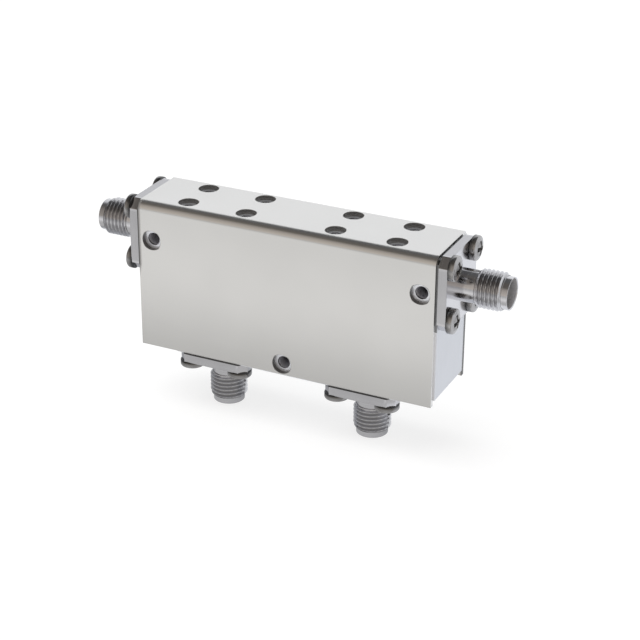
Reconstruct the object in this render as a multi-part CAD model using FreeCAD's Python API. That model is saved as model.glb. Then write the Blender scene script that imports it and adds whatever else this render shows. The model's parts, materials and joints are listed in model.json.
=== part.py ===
import FreeCAD, Part
import math
import os

# A four-port coaxial circulator with two junctions, in millimetres. X runs along the block, Y from its
# front to its back, and Z up. The origin is under the middle of the block, at the ends of the lower jacks.

# Housing block
housing_length = 53.6
housing_depth = 11.85
housing_height = 25.75
end_relief = 1.53
land_margin = 0.3
top_edge_chamfer = 0.8

# Shield cover, one sheet folded over the front, top and back
sheet = 0.8
bend_inner_radius = 0.7
cover_end_gap = 0.28
cover_edge_gap = 0.55
cover_hole_diameter = 3.4

# Mounting holes
tapped_diameter = 2.2
top_pattern_distance = 26.64
top_pitch_x = 10.66
top_pitch_y = 6.85
top_hole_depth = 4.0
front_hole_depth = 3.2
front_hole_end_distance = 2.77
centre_hole_height = 2.43

# Jack shell, from its seat outwards
flange_size = 12.7
flange_thickness = 1.5
end_flange_chamfer = 1.5
lower_flange_chamfer = 1.25
flange_top_gap = 0.25
neck_diameter = 5.4
neck_length = 3.05
thread_diameter = 6.35
thread_length = 4.45
thread_chamfer = 0.35
pilot_diameter = 5.35
pilot_length = 1.0
mouth_diameter = 4.9
mouth_depth = 1.9
mouth_chamfer = 0.12

# Insulator and centre contact of a jack
dielectric_diameter = 4.1
dielectric_depth = 5.0
contact_diameter = 1.27
contact_tail = 1.2
socket_diameter = 0.94
socket_depth = 3.0
tine_slot = 0.2
tine_length = 2.4

# Flange screws
screw_pitch = 9.0
screw_hole_diameter = 2.4
shank_diameter = 2.0
screw_grip = 4.6
screw_end_room = 0.4
head_diameter = 4.15
head_side = 0.9
head_crown = 0.55
head_edge = 0.6
recess_span = 2.4
recess_width = 0.6
recess_depth = 0.9

# Junctions and strip line
junction_end_distance = 13.26
bend_room = 1.4
arm_angle = 30.0
well_diameter = 11.2
channel_width = 2.8
strip_thickness = 0.3
strip_end_gap = 0.05
junction_disc_diameter = 6.0
arm_width = 1.8
ferrite_diameter = 8.4
ferrite_thickness = 1.6
web_thickness = 0.85
magnet_thickness = 2.0

# Radial clearances
press_gap = 0.02
magnet_gap = 0.1

# Heights and half widths that follow
jack_length = flange_thickness + neck_length + thread_length + pilot_length
seat_z = jack_length
housing_top = seat_z + housing_height
cover_top = housing_top + sheet
cover_bottom = seat_z + cover_edge_gap
half_length = housing_length / 2
half_depth = housing_depth / 2
side_port_z = cover_top - flange_size / 2 - flange_top_gap
junction_x = half_length - junction_end_distance
line_end_x = half_length - dielectric_depth
bend_x = line_end_x - bend_room
arm_reach = bend_x - junction_x
junction_z = side_port_z - arm_reach * math.tan(math.radians(arm_angle))
line_end_z = seat_z + dielectric_depth

# Faces of the stack, counted from the middle of the strip
strip_face = strip_thickness / 2
ferrite_face = strip_face + ferrite_thickness
web_face = ferrite_face + web_thickness
magnet_face = web_face + magnet_thickness

# Side of each piece that comes in mirrored copies
SIDES = {"left": -1, "right": 1}
FACES = {"front": -1, "back": 1}

Vector = FreeCAD.Vector
X_AXIS = Vector(1, 0, 0)
Y_AXIS = Vector(0, 1, 0)
Z_AXIS = Vector(0, 0, 1)


def polygon_face(points):
    """Flat face inside a closed outline of straight edges."""
    return Part.Face(Part.makePolygon(points + [points[0]]))


def extruded_outline(outline, y_low, y_high):
    """Solid with an outline of (x, z) points, between two Y planes."""
    face = polygon_face([Vector(x, y_low, z) for x, z in outline])
    return face.extrude(Y_AXIS * (y_high - y_low))


def disc(x, z, diameter, y_one, y_two):
    """Round plate about a line along Y, between two Y planes."""
    y_low = min(y_one, y_two)
    return Part.makeCylinder(diameter / 2, abs(y_two - y_one), Vector(x, y_low, z), Y_AXIS)


def turned(outline):
    """Solid turned about Z from a closed outline of (radius, z) points."""
    face = polygon_face([Vector(radius, 0, z) for radius, z in outline])
    return face.revolve(Vector(0, 0, 0), Z_AXIS, 360)


def ribbon(path, width, y_low, y_high):
    """Band of one width along a path of (x, z) points, mitred at its bends, between two Y planes."""
    directions = []
    for start, end in zip(path, path[1:]):
        length = math.dist(start, end)
        directions.append(((end[0] - start[0]) / length, (end[1] - start[1]) / length))
    left = []
    right = []
    for index, point in enumerate(path):
        before = directions[max(index - 1, 0)]
        after = directions[min(index, len(directions) - 1)]
        share = 1 + before[0] * after[0] + before[1] * after[1]
        side_x = -(before[1] + after[1]) / share * width / 2
        side_z = (before[0] + after[0]) / share * width / 2
        left.append((point[0] + side_x, point[1] + side_z))
        right.append((point[0] - side_x, point[1] - side_z))
    return extruded_outline(left + right[::-1], y_low, y_high)


def port_placements():
    """Seat of each jack, whose own frame has its seat at the origin and its mouth along +Z."""
    return {
        "left": FreeCAD.Placement(Vector(-half_length, 0, side_port_z), FreeCAD.Rotation(Y_AXIS, -90)),
        "right": FreeCAD.Placement(Vector(half_length, 0, side_port_z), FreeCAD.Rotation(Y_AXIS, 90)),
        "lower_left": FreeCAD.Placement(Vector(-junction_x, 0, seat_z), FreeCAD.Rotation(Y_AXIS, 180)),
        "lower_right": FreeCAD.Placement(Vector(junction_x, 0, seat_z), FreeCAD.Rotation(Y_AXIS, 180)),
    }


def placed(shape, placement):
    """Copy of a shape, moved from its own frame to its place."""
    copy = shape.copy()
    copy.Placement = placement.multiply(copy.Placement)
    return copy


def screw_points():
    """Centres of the four flange screws, in the jack's own frame."""
    half = screw_pitch / 2
    return [(x, y) for x in (-half, half) for y in (-half, half)]


def line_paths(end_gap):
    """Middle lines of the five strip runs, from each junction to its ports, as (x, z) points."""
    paths = {}
    for side, sign in SIDES.items():
        centre = (sign * junction_x, junction_z)
        outer_end = (sign * (line_end_x - end_gap), side_port_z)
        paths[side] = [centre, (sign * bend_x, side_port_z), outer_end]
        paths["lower_" + side] = [centre, (sign * junction_x, line_end_z + end_gap)]
    inner_bend_x = junction_x - arm_reach
    paths["link"] = [
        (-junction_x, junction_z),
        (-inner_bend_x, side_port_z),
        (inner_bend_x, side_port_z),
        (junction_x, junction_z),
    ]
    return paths


def front_hole_points():
    """Centres of the three front holes, as (x, z) points."""
    outer_x = half_length - front_hole_end_distance
    return [(-outer_x, side_port_z), (outer_x, side_port_z), (0, seat_z + centre_hole_height)]


def top_hole_points():
    """Centres of the eight top holes, four at each side, as (x, y) points."""
    points = []
    for sign in SIDES.values():
        for step_x in (-top_pitch_x / 2, top_pitch_x / 2):
            for y in (-top_pitch_y / 2, top_pitch_y / 2):
                points.append((sign * top_pattern_distance / 2 + step_x, y))
    return points


def housing_blank():
    """Block with its ends raised clear of the cover's lower edge, and its long top edges chamfered."""
    land_half = junction_x + flange_size / 2 + land_margin
    end_z = seat_z + end_relief
    outline = [
        (-half_length, end_z),
        (-land_half, end_z),
        (-land_half, seat_z),
        (land_half, seat_z),
        (land_half, end_z),
        (half_length, end_z),
        (half_length, housing_top),
        (-half_length, housing_top),
    ]
    blank = extruded_outline(outline, -half_depth, half_depth)
    top_edges = []
    for edge in blank.Edges:
        box = edge.BoundBox
        if box.XLength > housing_length / 2 and box.ZMin > housing_top - sheet:
            top_edges.append(edge)
    return blank.makeChamfer(top_edge_chamfer, top_edges)


def port_cutters():
    """Coaxial bore and four screw holes behind each jack."""
    bore = Part.makeCylinder(dielectric_diameter / 2 + press_gap, dielectric_depth, Vector(0, 0, 0), -Z_AXIS)
    tools = [bore]
    for x, y in screw_points():
        depth = screw_grip + screw_end_room
        tools.append(Part.makeCylinder(shank_diameter / 2 + press_gap, depth, Vector(x, y, 0), -Z_AXIS))
    group = Part.makeCompound(tools)
    return [placed(group, placement) for placement in port_placements().values()]


def junction_cutters():
    """Front and back wells of both junctions, and the channels of the five strip runs."""
    tools = []
    for sign in SIDES.values():
        x = sign * junction_x
        tools.append(disc(x, junction_z, well_diameter, -half_depth, ferrite_face))
        tools.append(disc(x, junction_z, well_diameter, web_face, half_depth))
    for path in line_paths(0).values():
        tools.append(ribbon(path, channel_width, -half_depth, ferrite_face))
    return tools


def mounting_cutters():
    """Tapped holes in the top and the front."""
    tools = []
    radius = tapped_diameter / 2
    for x, y in top_hole_points():
        tools.append(Part.makeCylinder(radius, top_hole_depth, Vector(x, y, housing_top), -Z_AXIS))
    for x, z in front_hole_points():
        tools.append(Part.makeCylinder(radius, front_hole_depth, Vector(x, -half_depth, z), Y_AXIS))
    return tools


def make_housing():
    """The machined block, with all its bores, wells and channels."""
    return housing_blank().cut(port_cutters() + junction_cutters() + mounting_cutters())


def cover_blank():
    """Folded sheet: a U section with two round bends, along the block."""
    outer = half_depth + sheet
    inner_top = cover_top - sheet
    bend_outer_radius = bend_inner_radius + sheet

    def point(y, z):
        return Vector(-half_length, y, z)

    def bend(centre_y, centre_z, radius, sign):
        diagonal = radius * math.sqrt(0.5)
        side = point(centre_y + sign * radius, centre_z)
        middle = point(centre_y + sign * diagonal, centre_z + diagonal)
        return Part.Arc(side, middle, point(centre_y, centre_z + radius)).toShape()

    bend_y = half_depth - bend_inner_radius
    bend_z = inner_top - bend_inner_radius
    edges = [
        Part.makeLine(point(-outer, cover_bottom), point(-outer, bend_z)),
        bend(-bend_y, bend_z, bend_outer_radius, -1),
        Part.makeLine(point(-bend_y, cover_top), point(bend_y, cover_top)),
        bend(bend_y, bend_z, bend_outer_radius, 1),
        Part.makeLine(point(outer, bend_z), point(outer, cover_bottom)),
        Part.makeLine(point(outer, cover_bottom), point(half_depth, cover_bottom)),
        Part.makeLine(point(half_depth, cover_bottom), point(half_depth, bend_z)),
        bend(bend_y, bend_z, bend_inner_radius, 1),
        Part.makeLine(point(bend_y, inner_top), point(-bend_y, inner_top)),
        bend(-bend_y, bend_z, bend_inner_radius, -1),
        Part.makeLine(point(-half_depth, bend_z), point(-half_depth, cover_bottom)),
        Part.makeLine(point(-half_depth, cover_bottom), point(-outer, cover_bottom)),
    ]
    section = Part.Face(Part.Wire(edges))
    return section.extrude(X_AXIS * housing_length)


def end_cutters():
    """Clears both ends of the cover for the end flanges, all but its flat back."""
    width = housing_depth + 2 * sheet
    back_top = cover_top - sheet - bend_inner_radius
    tools = []
    for x in (-half_length, half_length - cover_end_gap):
        front = Vector(x, -width / 2, cover_bottom)
        tools.append(Part.makeBox(cover_end_gap, width - sheet, housing_height, front))
        top = Vector(x, -width / 2, back_top)
        tools.append(Part.makeBox(cover_end_gap, width, housing_height, top))
    return tools


def make_shield_cover():
    """The folded sheet with clear holes over the tapped holes."""
    radius = cover_hole_diameter / 2
    tools = end_cutters()
    for x, y in top_hole_points():
        tools.append(Part.makeCylinder(radius, 3 * sheet, Vector(x, y, cover_top + sheet), -Z_AXIS))
    for x, z in front_hole_points():
        tools.append(Part.makeCylinder(radius, 3 * sheet, Vector(x, -half_depth - 2 * sheet, z), Y_AXIS))
    return cover_blank().cut(tools)


def make_connector_shell(chamfer):
    """Square flange with chamfered corners, neck, threaded barrel at its outer size, and pilot ring."""
    half = flange_size / 2
    cut = half - chamfer
    corners = [(half, -cut), (half, cut), (cut, half), (-cut, half), (-half, cut), (-half, -cut), (-cut, -half)]
    flange_face = polygon_face([Vector(x, y, 0) for x, y in corners + [(cut, -half)]])
    flange = flange_face.extrude(Z_AXIS * flange_thickness)
    neck_end = flange_thickness + neck_length
    thread_end = neck_end + thread_length
    neck_radius = neck_diameter / 2
    thread_radius = thread_diameter / 2
    pilot_radius = pilot_diameter / 2
    mouth_radius = mouth_diameter / 2
    barrel = turned([
        (0, 0),
        (neck_radius, 0),
        (neck_radius, neck_end),
        (thread_radius - thread_chamfer, neck_end),
        (thread_radius, neck_end + thread_chamfer),
        (thread_radius, thread_end - thread_chamfer),
        (thread_radius - thread_chamfer, thread_end),
        (pilot_radius, thread_end),
        (pilot_radius, jack_length),
        (0, jack_length),
    ])
    bore = turned([
        (0, 0),
        (dielectric_diameter / 2 + press_gap, 0),
        (dielectric_diameter / 2 + press_gap, jack_length - mouth_depth),
        (mouth_radius, jack_length - mouth_depth),
        (mouth_radius, jack_length - mouth_chamfer),
        (mouth_radius + mouth_chamfer, jack_length),
        (0, jack_length),
    ])
    holes = []
    for x, y in screw_points():
        holes.append(Part.makeCylinder(screw_hole_diameter / 2, flange_thickness, Vector(x, y, 0)))
    return flange.fuse(barrel).removeSplitter().cut([bore] + holes)


def make_dielectric():
    """Insulator sleeve, from the floor of the mouth to the bottom of the housing's bore."""
    length = jack_length - mouth_depth + dielectric_depth
    base = Vector(0, 0, -dielectric_depth)
    sleeve = Part.makeCylinder(dielectric_diameter / 2, length, base)
    return sleeve.cut(Part.makeCylinder(contact_diameter / 2 + press_gap, length, base))


def make_centre_contact():
    """Pin with a bored and slotted socket at the mouth and a slot across its tail for the strip."""
    face_z = jack_length - mouth_depth
    tail_z = -dielectric_depth - contact_tail
    pin = Part.makeCylinder(contact_diameter / 2, face_z - tail_z, Vector(0, 0, tail_z))
    width = contact_diameter * 2
    tools = [
        Part.makeCylinder(socket_diameter / 2, socket_depth, Vector(0, 0, face_z), -Z_AXIS),
        Part.makeBox(width, tine_slot, tine_length, Vector(-width / 2, -tine_slot / 2, face_z - tine_length)),
        Part.makeBox(tine_slot, width, tine_length, Vector(-tine_slot / 2, -width / 2, face_z - tine_length)),
    ]
    tail_slot = strip_thickness + 2 * press_gap
    tools.append(Part.makeBox(width, tail_slot, contact_tail, Vector(-width / 2, -tail_slot / 2, tail_z)))
    return pin.cut(tools)


def make_flange_screw():
    """Pan-head screw with a cross recess, its head on the flange and its shank in the housing."""
    shank_radius = shank_diameter / 2
    head_radius = head_diameter / 2
    side_z = flange_thickness + head_side
    crown_z = side_z + head_crown
    screw = turned([
        (0, -screw_grip),
        (shank_radius, -screw_grip),
        (shank_radius, flange_thickness),
        (head_radius, flange_thickness),
        (head_radius, side_z),
        (head_radius - head_edge, crown_z),
        (0, crown_z),
    ])
    floor_z = crown_z - recess_depth
    span = recess_span / 2
    width = recess_width / 2
    recess = [
        Part.makeBox(2 * span, 2 * width, recess_depth, Vector(-span, -width, floor_z)),
        Part.makeBox(2 * width, 2 * span, recess_depth, Vector(-width, -span, floor_z)),
    ]
    return screw.cut(recess)


def make_flange_screws():
    """The four screws of one flange, as separate solids, in the jack's own frame."""
    screw = make_flange_screw()
    return Part.makeCompound([placed(screw, FreeCAD.Placement(Vector(x, y, 0), FreeCAD.Rotation()))
                              for x, y in screw_points()])


def make_centre_conductor():
    """Thin strip with a disc at each junction and an arm along each run."""
    pieces = []
    for sign in SIDES.values():
        x = sign * junction_x
        pieces.append(disc(x, junction_z, junction_disc_diameter, -strip_face, strip_face))
    for path in line_paths(strip_end_gap).values():
        pieces.append(ribbon(path, arm_width, -strip_face, strip_face))
    return pieces[0].fuse(pieces[1:]).removeSplitter()


def make_channel_covers():
    """Bars that fill the front of each channel, down to the level of the ground discs."""
    wells = [disc(sign * junction_x, junction_z, well_diameter, -housing_depth, 0) for sign in SIDES.values()]
    covers = {}
    for name, path in line_paths(press_gap).items():
        bar = ribbon(path, channel_width - 2 * press_gap, -half_depth, -ferrite_face)
        covers["channel_cover_" + name] = bar.cut(wells)
    return covers


def make_junction_stack():
    """Round pieces of both junctions, from the strip out to the keepers."""
    press_diameter = well_diameter - 2 * press_gap
    pieces = {}
    for side, side_sign in SIDES.items():
        x = side_sign * junction_x
        for face, sign in FACES.items():
            name = side + "_" + face
            near = sign * strip_face
            far = sign * ferrite_face
            ring = disc(x, junction_z, press_diameter, near, far)
            hole = disc(x, junction_z, ferrite_diameter + 2 * press_gap, near, far)
            magnet_diameter = well_diameter - 2 * magnet_gap
            pieces["ferrite_" + name] = disc(x, junction_z, ferrite_diameter, near, far)
            pieces["spacer_ring_" + name] = ring.cut(hole)
            pieces["magnet_" + name] = disc(x, junction_z, magnet_diameter, sign * web_face, sign * magnet_face)
            pieces["keeper_" + name] = disc(x, junction_z, press_diameter, sign * magnet_face, sign * half_depth)
        pieces["ground_disc_" + side] = disc(x, junction_z, press_diameter, -ferrite_face, -web_face)
    return pieces


def make_jacks():
    """Shell, insulator, contact and screws at each of the four ports."""
    own_shapes = {
        "dielectric_": make_dielectric(),
        "centre_contact_": make_centre_contact(),
        "flange_screws_": make_flange_screws(),
    }
    end_shell = make_connector_shell(end_flange_chamfer)
    lower_shell = make_connector_shell(lower_flange_chamfer)
    pieces = {}
    for port, placement in port_placements().items():
        shell = end_shell if port in SIDES else lower_shell
        pieces["connector_shell_" + port] = placed(shell, placement)
        for name, shape in own_shapes.items():
            pieces[name + port] = placed(shape, placement)
    return pieces


def make_nodes():
    """Every node of the object, by name."""
    nodes = {
        "housing": make_housing(),
        "shield_cover": make_shield_cover(),
        "centre_conductor": make_centre_conductor(),
    }
    nodes.update(make_junction_stack())
    nodes.update(make_channel_covers())
    nodes.update(make_jacks())
    return nodes


os.makedirs("parts", exist_ok=True)
for node_name, node_shape in make_nodes().items():
    node_shape.exportStep("parts/" + node_name + ".step")
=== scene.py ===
import json
import math

import bmesh
import bpy
import numpy as np
from bpy.props import FloatProperty, FloatVectorProperty, PointerProperty
from mathutils import Matrix, Vector


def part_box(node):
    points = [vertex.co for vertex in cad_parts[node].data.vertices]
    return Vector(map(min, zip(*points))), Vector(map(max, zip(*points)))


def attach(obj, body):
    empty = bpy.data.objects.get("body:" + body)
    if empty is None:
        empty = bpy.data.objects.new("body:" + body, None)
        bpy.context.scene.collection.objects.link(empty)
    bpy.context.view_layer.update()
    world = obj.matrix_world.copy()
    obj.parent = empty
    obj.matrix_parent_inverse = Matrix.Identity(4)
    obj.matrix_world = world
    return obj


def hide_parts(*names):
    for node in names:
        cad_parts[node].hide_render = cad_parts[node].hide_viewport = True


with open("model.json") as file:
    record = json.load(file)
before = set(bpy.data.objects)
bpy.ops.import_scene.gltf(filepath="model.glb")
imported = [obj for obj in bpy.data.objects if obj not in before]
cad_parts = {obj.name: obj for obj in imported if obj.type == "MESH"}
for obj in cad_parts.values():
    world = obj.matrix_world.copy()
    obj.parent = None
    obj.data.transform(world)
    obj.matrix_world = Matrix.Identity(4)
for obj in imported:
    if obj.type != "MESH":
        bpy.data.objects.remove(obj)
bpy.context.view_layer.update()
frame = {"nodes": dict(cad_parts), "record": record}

bl_info = {
    "name": "Cryogenic circulator",
    "version": (1, 0, 0),
    "blender": (4, 5, 0),
    "location": "3D View > Sidebar > Circulator",
    "description": "Dresses the solids of a shielded circulator: sheet cover, block, jacks and screws",
    "category": "Object",
}

MM = 0.001
BODY = "root"
# Turn of each jack about Y in degrees, from its own upward line
JACKS = {"left": -90, "right": 90, "lower_left": 180, "lower_right": 180}
# Painted shade on the flat sides of each flange: how far they go towards the shade tone, for each port
RIM_SHADE = {"left": 0.36, "right": 0.3, "lower_left": 0.06, "lower_right": 0.06}
# Mounts of the holes in the top and in the front, and the depth of the thread in the top
TOP_HOLES = ("top_left_holes", "top_right_holes")
FRONT_HOLES = ("front_upper_holes", "front_lower_hole")
TOP_THREAD_DEPTH = 4.0 * MM
# Allowance for points that lie on a face, and the same for the block's material
SLACK = 0.01 * MM
FACE_MARGIN = 0.15 * MM
# Width of the strip of the block's front and back that the cover leaves open at each end
END_STRIP = 0.33 * MM
# Mesh steps across a bend or a hole, longest step on a plain strip, and the smallest length that counts
FINE_STEPS = 14
PLAIN_STEP = 3 * MM
TINY = 1e-8

WHITE = (1.0, 1.0, 1.0, 1.0)
# Painted shade: dark tones that hole walls, gaps, thread roots and flange sides are pulled towards
SHADE_TONE = (0.1, 0.1, 0.1, 1.0)
MATTE_SHADE_TONE = (0.09, 0.086, 0.084, 1.0)
# Values of the noise that give the deep tone and the light tone, and the low and the high roughness
NOISE_RANGE = (0.33, 0.67)
FLOOR_MATTE = (0.3, 0.3, 0.3, 1.0)
# Distances from the object between which the floor turns into pure glow
GLOW_START = 0.3
GLOW_END = 0.9
LAMP_SIDE = 1.2
LAMP_PLACE = Vector((-0.25, -0.15, 1.1))


def size(name, description, millimetres):
    """A length that the user can change, given in millimetres and kept in metres."""
    return FloatProperty(name=name, description=description, default=millimetres * MM,
                         subtype="DISTANCE", unit="LENGTH", precision=5)


def share(name, description, default, most=1.0):
    """A plain number between nought and its largest value."""
    return FloatProperty(name=name, description=description, default=default, min=0.0, max=most)


def colour(name, description, default):
    """A surface colour that the user can change."""
    return FloatVectorProperty(name=name, description=description, default=default,
                               subtype="COLOR", size=3, min=0.0, max=1.0)


def angle(name, description, degrees):
    """An angle that the user can change, given in degrees."""
    return FloatProperty(name=name, description=description, default=math.radians(degrees),
                         subtype="ANGLE", unit="ROTATION")


def node_corners(node):
    """Lowest and highest corner of a solid, as arrays."""
    low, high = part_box(node)
    return np.array(low), np.array(high)


def flange_foot():
    """Height of the lower edge of the end flanges."""
    return node_corners("connector_shell_right")[0][2]


class CoverSettings(bpy.types.PropertyGroup):
    bend_inner_radius: size("Inner bend radius", "Inside radius of both folds", 0.7)
    hole_diameter: size("Hole diameter", "Clear holes over the tapped holes", 3.4)
    end_gap: size("End gap", "Length by which the front and the top stop short of the flat back", 0.28)
    cell_margin: size("Hole margin", "Width of the fine mesh around each hole", 0.22)
    edge_break: size("Edge break", "Rounding of the deburred edges", 0.09)
    light_metal: colour("Light metal", "Brighter tone of the annealed sheet", (0.77, 0.76, 0.74))
    deep_metal: colour("Deep metal", "Duller tone of the annealed sheet", (0.74, 0.73, 0.71))


class BlockSettings(bpy.types.PropertyGroup):
    edge_break: size("Edge break", "Rounding of the milled edges", 0.08)
    turn_pitch: size("Thread pitch", "Pitch of the tapped holes' threads", 0.45)
    turn_height: size("Thread height", "Height of the tapped holes' threads", 0.16)
    light_metal: colour("Light metal", "Brighter tone of the milled block", (0.68, 0.695, 0.725))
    deep_metal: colour("Deep metal", "Duller tone of the milled block", (0.64, 0.652, 0.68))
    # Painted light: brighter tone of the block's faces under the cover, seen in the holes
    covered_painted_light: colour("Covered metal", "Tone of the faces under the cover", (0.93, 0.94, 0.98))


class JackSettings(bpy.types.PropertyGroup):
    flange_thickness: size("Flange thickness", "Thickness of the square flange", 1.5)
    end_chamfer: size("End flange chamfer", "Leg of the corner chamfers of both end flanges", 1.5)
    lower_chamfer: size("Lower flange chamfer", "Leg of the corner chamfers of both lower flanges", 1.25)
    screw_pitch: size("Screw pitch", "Distance between two screws of a flange", 9.0)
    screw_hole: size("Screw hole", "Diameter of the flange's screw holes", 2.4)
    neck_diameter: size("Neck diameter", "Plain neck between the flange and the thread", 5.4)
    neck_length: size("Neck length", "Length of the plain neck", 3.05)
    thread_diameter: size("Thread diameter", "Outer diameter of the thread", 6.35)
    thread_pitch: size("Thread pitch", "Pitch of the thread", 0.7056)
    thread_height: size("Thread height", "Height of the thread's ridge", 0.4)
    pilot_diameter: size("Pilot diameter", "Plain ring beyond the thread", 5.35)
    pilot_length: size("Pilot length", "Length of the plain ring", 1.0)
    mouth_diameter: size("Mouth diameter", "Diameter of the open mouth", 4.9)
    mouth_depth: size("Mouth depth", "Depth of the mouth, down to the insulator", 1.9)
    mouth_chamfer: size("Mouth chamfer", "Chamfer at the mouth's edge", 0.12)
    bore_diameter: size("Bore diameter", "Bore that holds the insulator", 4.14)
    edge_break: size("Edge break", "Rounding of the turned and milled edges", 0.07)
    # Painted shade in the thread's roots, for the end jacks and for the lower jacks
    shade_share: share("Grime", "How far the thread's roots go towards the recess tone", 0.4)
    lower_shade_share: share("Lower grime", "The same for the two lower jacks", 0.6)
    hollow: share("Hollow", "How much of the mouth's inside is matte", 0.5)
    light_metal: colour("Light metal", "Brighter tone of the turned steel", (0.71, 0.705, 0.72))
    deep_metal: colour("Deep metal", "Duller tone of the turned steel", (0.63, 0.622, 0.637))


class ScrewSettings(bpy.types.PropertyGroup):
    head_diameter: size("Head diameter", "Diameter of the pan head", 4.15)
    side_height: size("Side height", "Straight side of the head", 0.9)
    crown_height: size("Crown height", "Rise of the domed top", 0.55)
    shank_diameter: size("Shank diameter", "Diameter of the shank", 2.0)
    grip: size("Grip", "Length of the shank below the flange", 4.6)
    # Painted shade at the foot of each screw head, where it meets the flange
    side_shade_share: share("Side grime", "How far the foot of the head goes towards the recess tone", 0.95)
    recess_span: size("Recess span", "Width of the cross recess, tip to tip", 2.5)
    recess_width: size("Recess width", "Width of one arm of the recess", 0.72)
    recess_depth: size("Recess depth", "Depth of the recess", 1.0)
    light_metal: colour("Light metal", "Brighter tone of the plated screws", (0.48, 0.47, 0.465))
    deep_metal: colour("Deep metal", "Duller tone of the plated screws", (0.34, 0.33, 0.325))


class StageSettings(bpy.types.PropertyGroup):
    azimuth: angle("Camera azimuth", "Turn of the view about the upright line", 25.391)
    elevation: angle("Camera elevation", "Height of the view above the horizon", 25.627)
    roll: angle("Camera roll", "Lean of the camera about its own line of sight", 0.41)
    distance: size("Camera distance", "From the camera to the point it looks at", 295.467)
    target_x: size("Target X", "Point that the camera looks at, along the block", 3.738)
    target_z: size("Target Z", "Height of the point that the camera looks at", 18.393)
    lens: share("Lens", "Focal length on a 36 mm sensor, in mm", 100.549, 1000.0)
    floor_size: size("Floor size", "Side of the pale floor", 4000.0)
    lamp_power: share("Lamp power", "Power of the large soft lamp, in watts", 14.0, 1000.0)
    wall_top: angle("Top of the bright wall", "Height of the bright wall behind the object", 40.0)
    wall_fade: angle("Fade of the bright wall", "Height over which the wall turns into the ceiling", 10.0)
    wall: share("Bright wall", "Level of the wall behind the object", 1.0, 4.0)
    ceiling: share("Ceiling", "Level of the dark ceiling", 0.115, 4.0)
    dark: share("Dark room", "Level of the room high up in front of the object", 0.12, 4.0)
    bright: share("Bright floor", "Level of the floor farther in front, as metal shows it", 0.92, 4.0)
    # Painted shadow in the floor's reflection close in front of the object
    near_floor_shadow: share("Near floor", "Level of the floor close in front, as metal shows it", 0.58, 4.0)
    glow: share("Floor glow", "Share of the floor's white that takes no shadow", 0.74)


def flat_row(values):
    """All values in one row of short floats, as meshes take them."""
    return np.ascontiguousarray(values, dtype=np.float32).ravel()


def merged_mesh(mesh, sources, distance=0.0, outward=False):
    """Fills the mesh with the sources' meshes in their order: points nearer than the distance are joined, and
    the faces can be turned outwards."""
    work = bmesh.new()
    for source in sources:
        work.from_mesh(source)
    if distance:
        bmesh.ops.remove_doubles(work, verts=work.verts, dist=distance)
    if outward:
        bmesh.ops.recalc_face_normals(work, faces=work.faces)
    work.to_mesh(mesh)
    work.free()
    return mesh


def mesh_from_faces(name, points, faces):
    """Mesh from an array of points and an array of four-cornered faces, with no doubled points."""
    mesh = bpy.data.meshes.new(name)
    mesh.vertices.add(len(points))
    mesh.vertices.foreach_set("co", flat_row(points))
    mesh.loops.add(faces.size)
    mesh.loops.foreach_set("vertex_index", np.ascontiguousarray(faces, dtype=np.int32).ravel())
    mesh.polygons.add(len(faces))
    mesh.polygons.foreach_set("loop_start", np.arange(0, faces.size, 4, dtype=np.int32))
    mesh.update(calc_edges=True)
    return merged_mesh(mesh, [mesh], distance=1e-7, outward=True)


def grid_faces(rows, columns, closed):
    """Faces of a grid of points, rows by columns; a closed grid joins its last row to its first."""
    row = np.arange(rows if closed else rows - 1)[:, None] * columns
    column = np.arange(columns - 1)[None, :]
    after = (row + columns) % (rows * columns)
    corners = [row + column, after + column, after + column + 1, row + column + 1]
    return np.stack(corners, axis=-1).reshape(-1, 4)


def joined(parts):
    """Points and faces of several (points, faces) pairs as one pair."""
    starts = np.cumsum([0] + [len(points) for points, faces in parts])
    points = np.concatenate([points for points, faces in parts])
    faces = np.concatenate([faces + start for start, (own, faces) in zip(starts, parts)])
    return points, faces


def turned(radii, heights):
    """Surface of revolution about Z: x = r cos a, y = r sin a, z = h, with radii by angle and height."""
    steps = radii.shape[0]
    turn = np.linspace(0, 2 * np.pi, steps, endpoint=False)[:, None]
    tall = np.broadcast_to(heights, radii.shape)
    points = np.stack([radii * np.cos(turn), radii * np.sin(turn), tall], axis=-1).reshape(-1, 3)
    return points, grid_faces(steps, radii.shape[1], True)


def rounded(profile, radius, steps=3):
    """Profile with an arc of the given radius in place of each inner corner: the arc starts and ends at
    radius times the tangent of half the turn from the corner, but within 0.45 of the shorter side, and its
    points follow a quadratic curve."""
    made = [profile[0]]
    for before, corner, after in zip(profile, profile[1:], profile[2:]):
        before, corner, after = np.array(before), np.array(corner), np.array(after)
        lengths = [np.linalg.norm(before - corner), np.linalg.norm(after - corner)]
        back = (before - corner) / lengths[0]
        ahead = (after - corner) / lengths[1]
        turn = math.pi - math.acos(max(-1.0, min(1.0, float(back @ ahead))))
        reach = min(radius * math.tan(turn / 2), min(lengths) * 0.45)
        for done in np.linspace(0, 1, steps + 1):
            near = corner + back * reach * (1 - done)
            far = corner + ahead * reach * done
            made.append(near * (1 - done) + far * done)
    made.append(profile[-1])
    return np.array(made, dtype=float)


def straight(start, end, segments):
    """Evenly spaced points from start to just before end."""
    steps = np.arange(segments)[:, None] / segments
    return np.array(start) * (1 - steps) + np.array(end) * steps


def plain_cell(low, high, segments):
    """Flat rectangle of points (u, v) on an even grid."""
    u = np.linspace(low[0], high[0], segments[0] + 1)
    v = np.linspace(low[1], high[1], segments[1] + 1)
    grid = np.stack(np.meshgrid(u, v, indexing="ij"), axis=-1)
    return grid.reshape(-1, 2), grid_faces(len(u), len(v), False)


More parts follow.
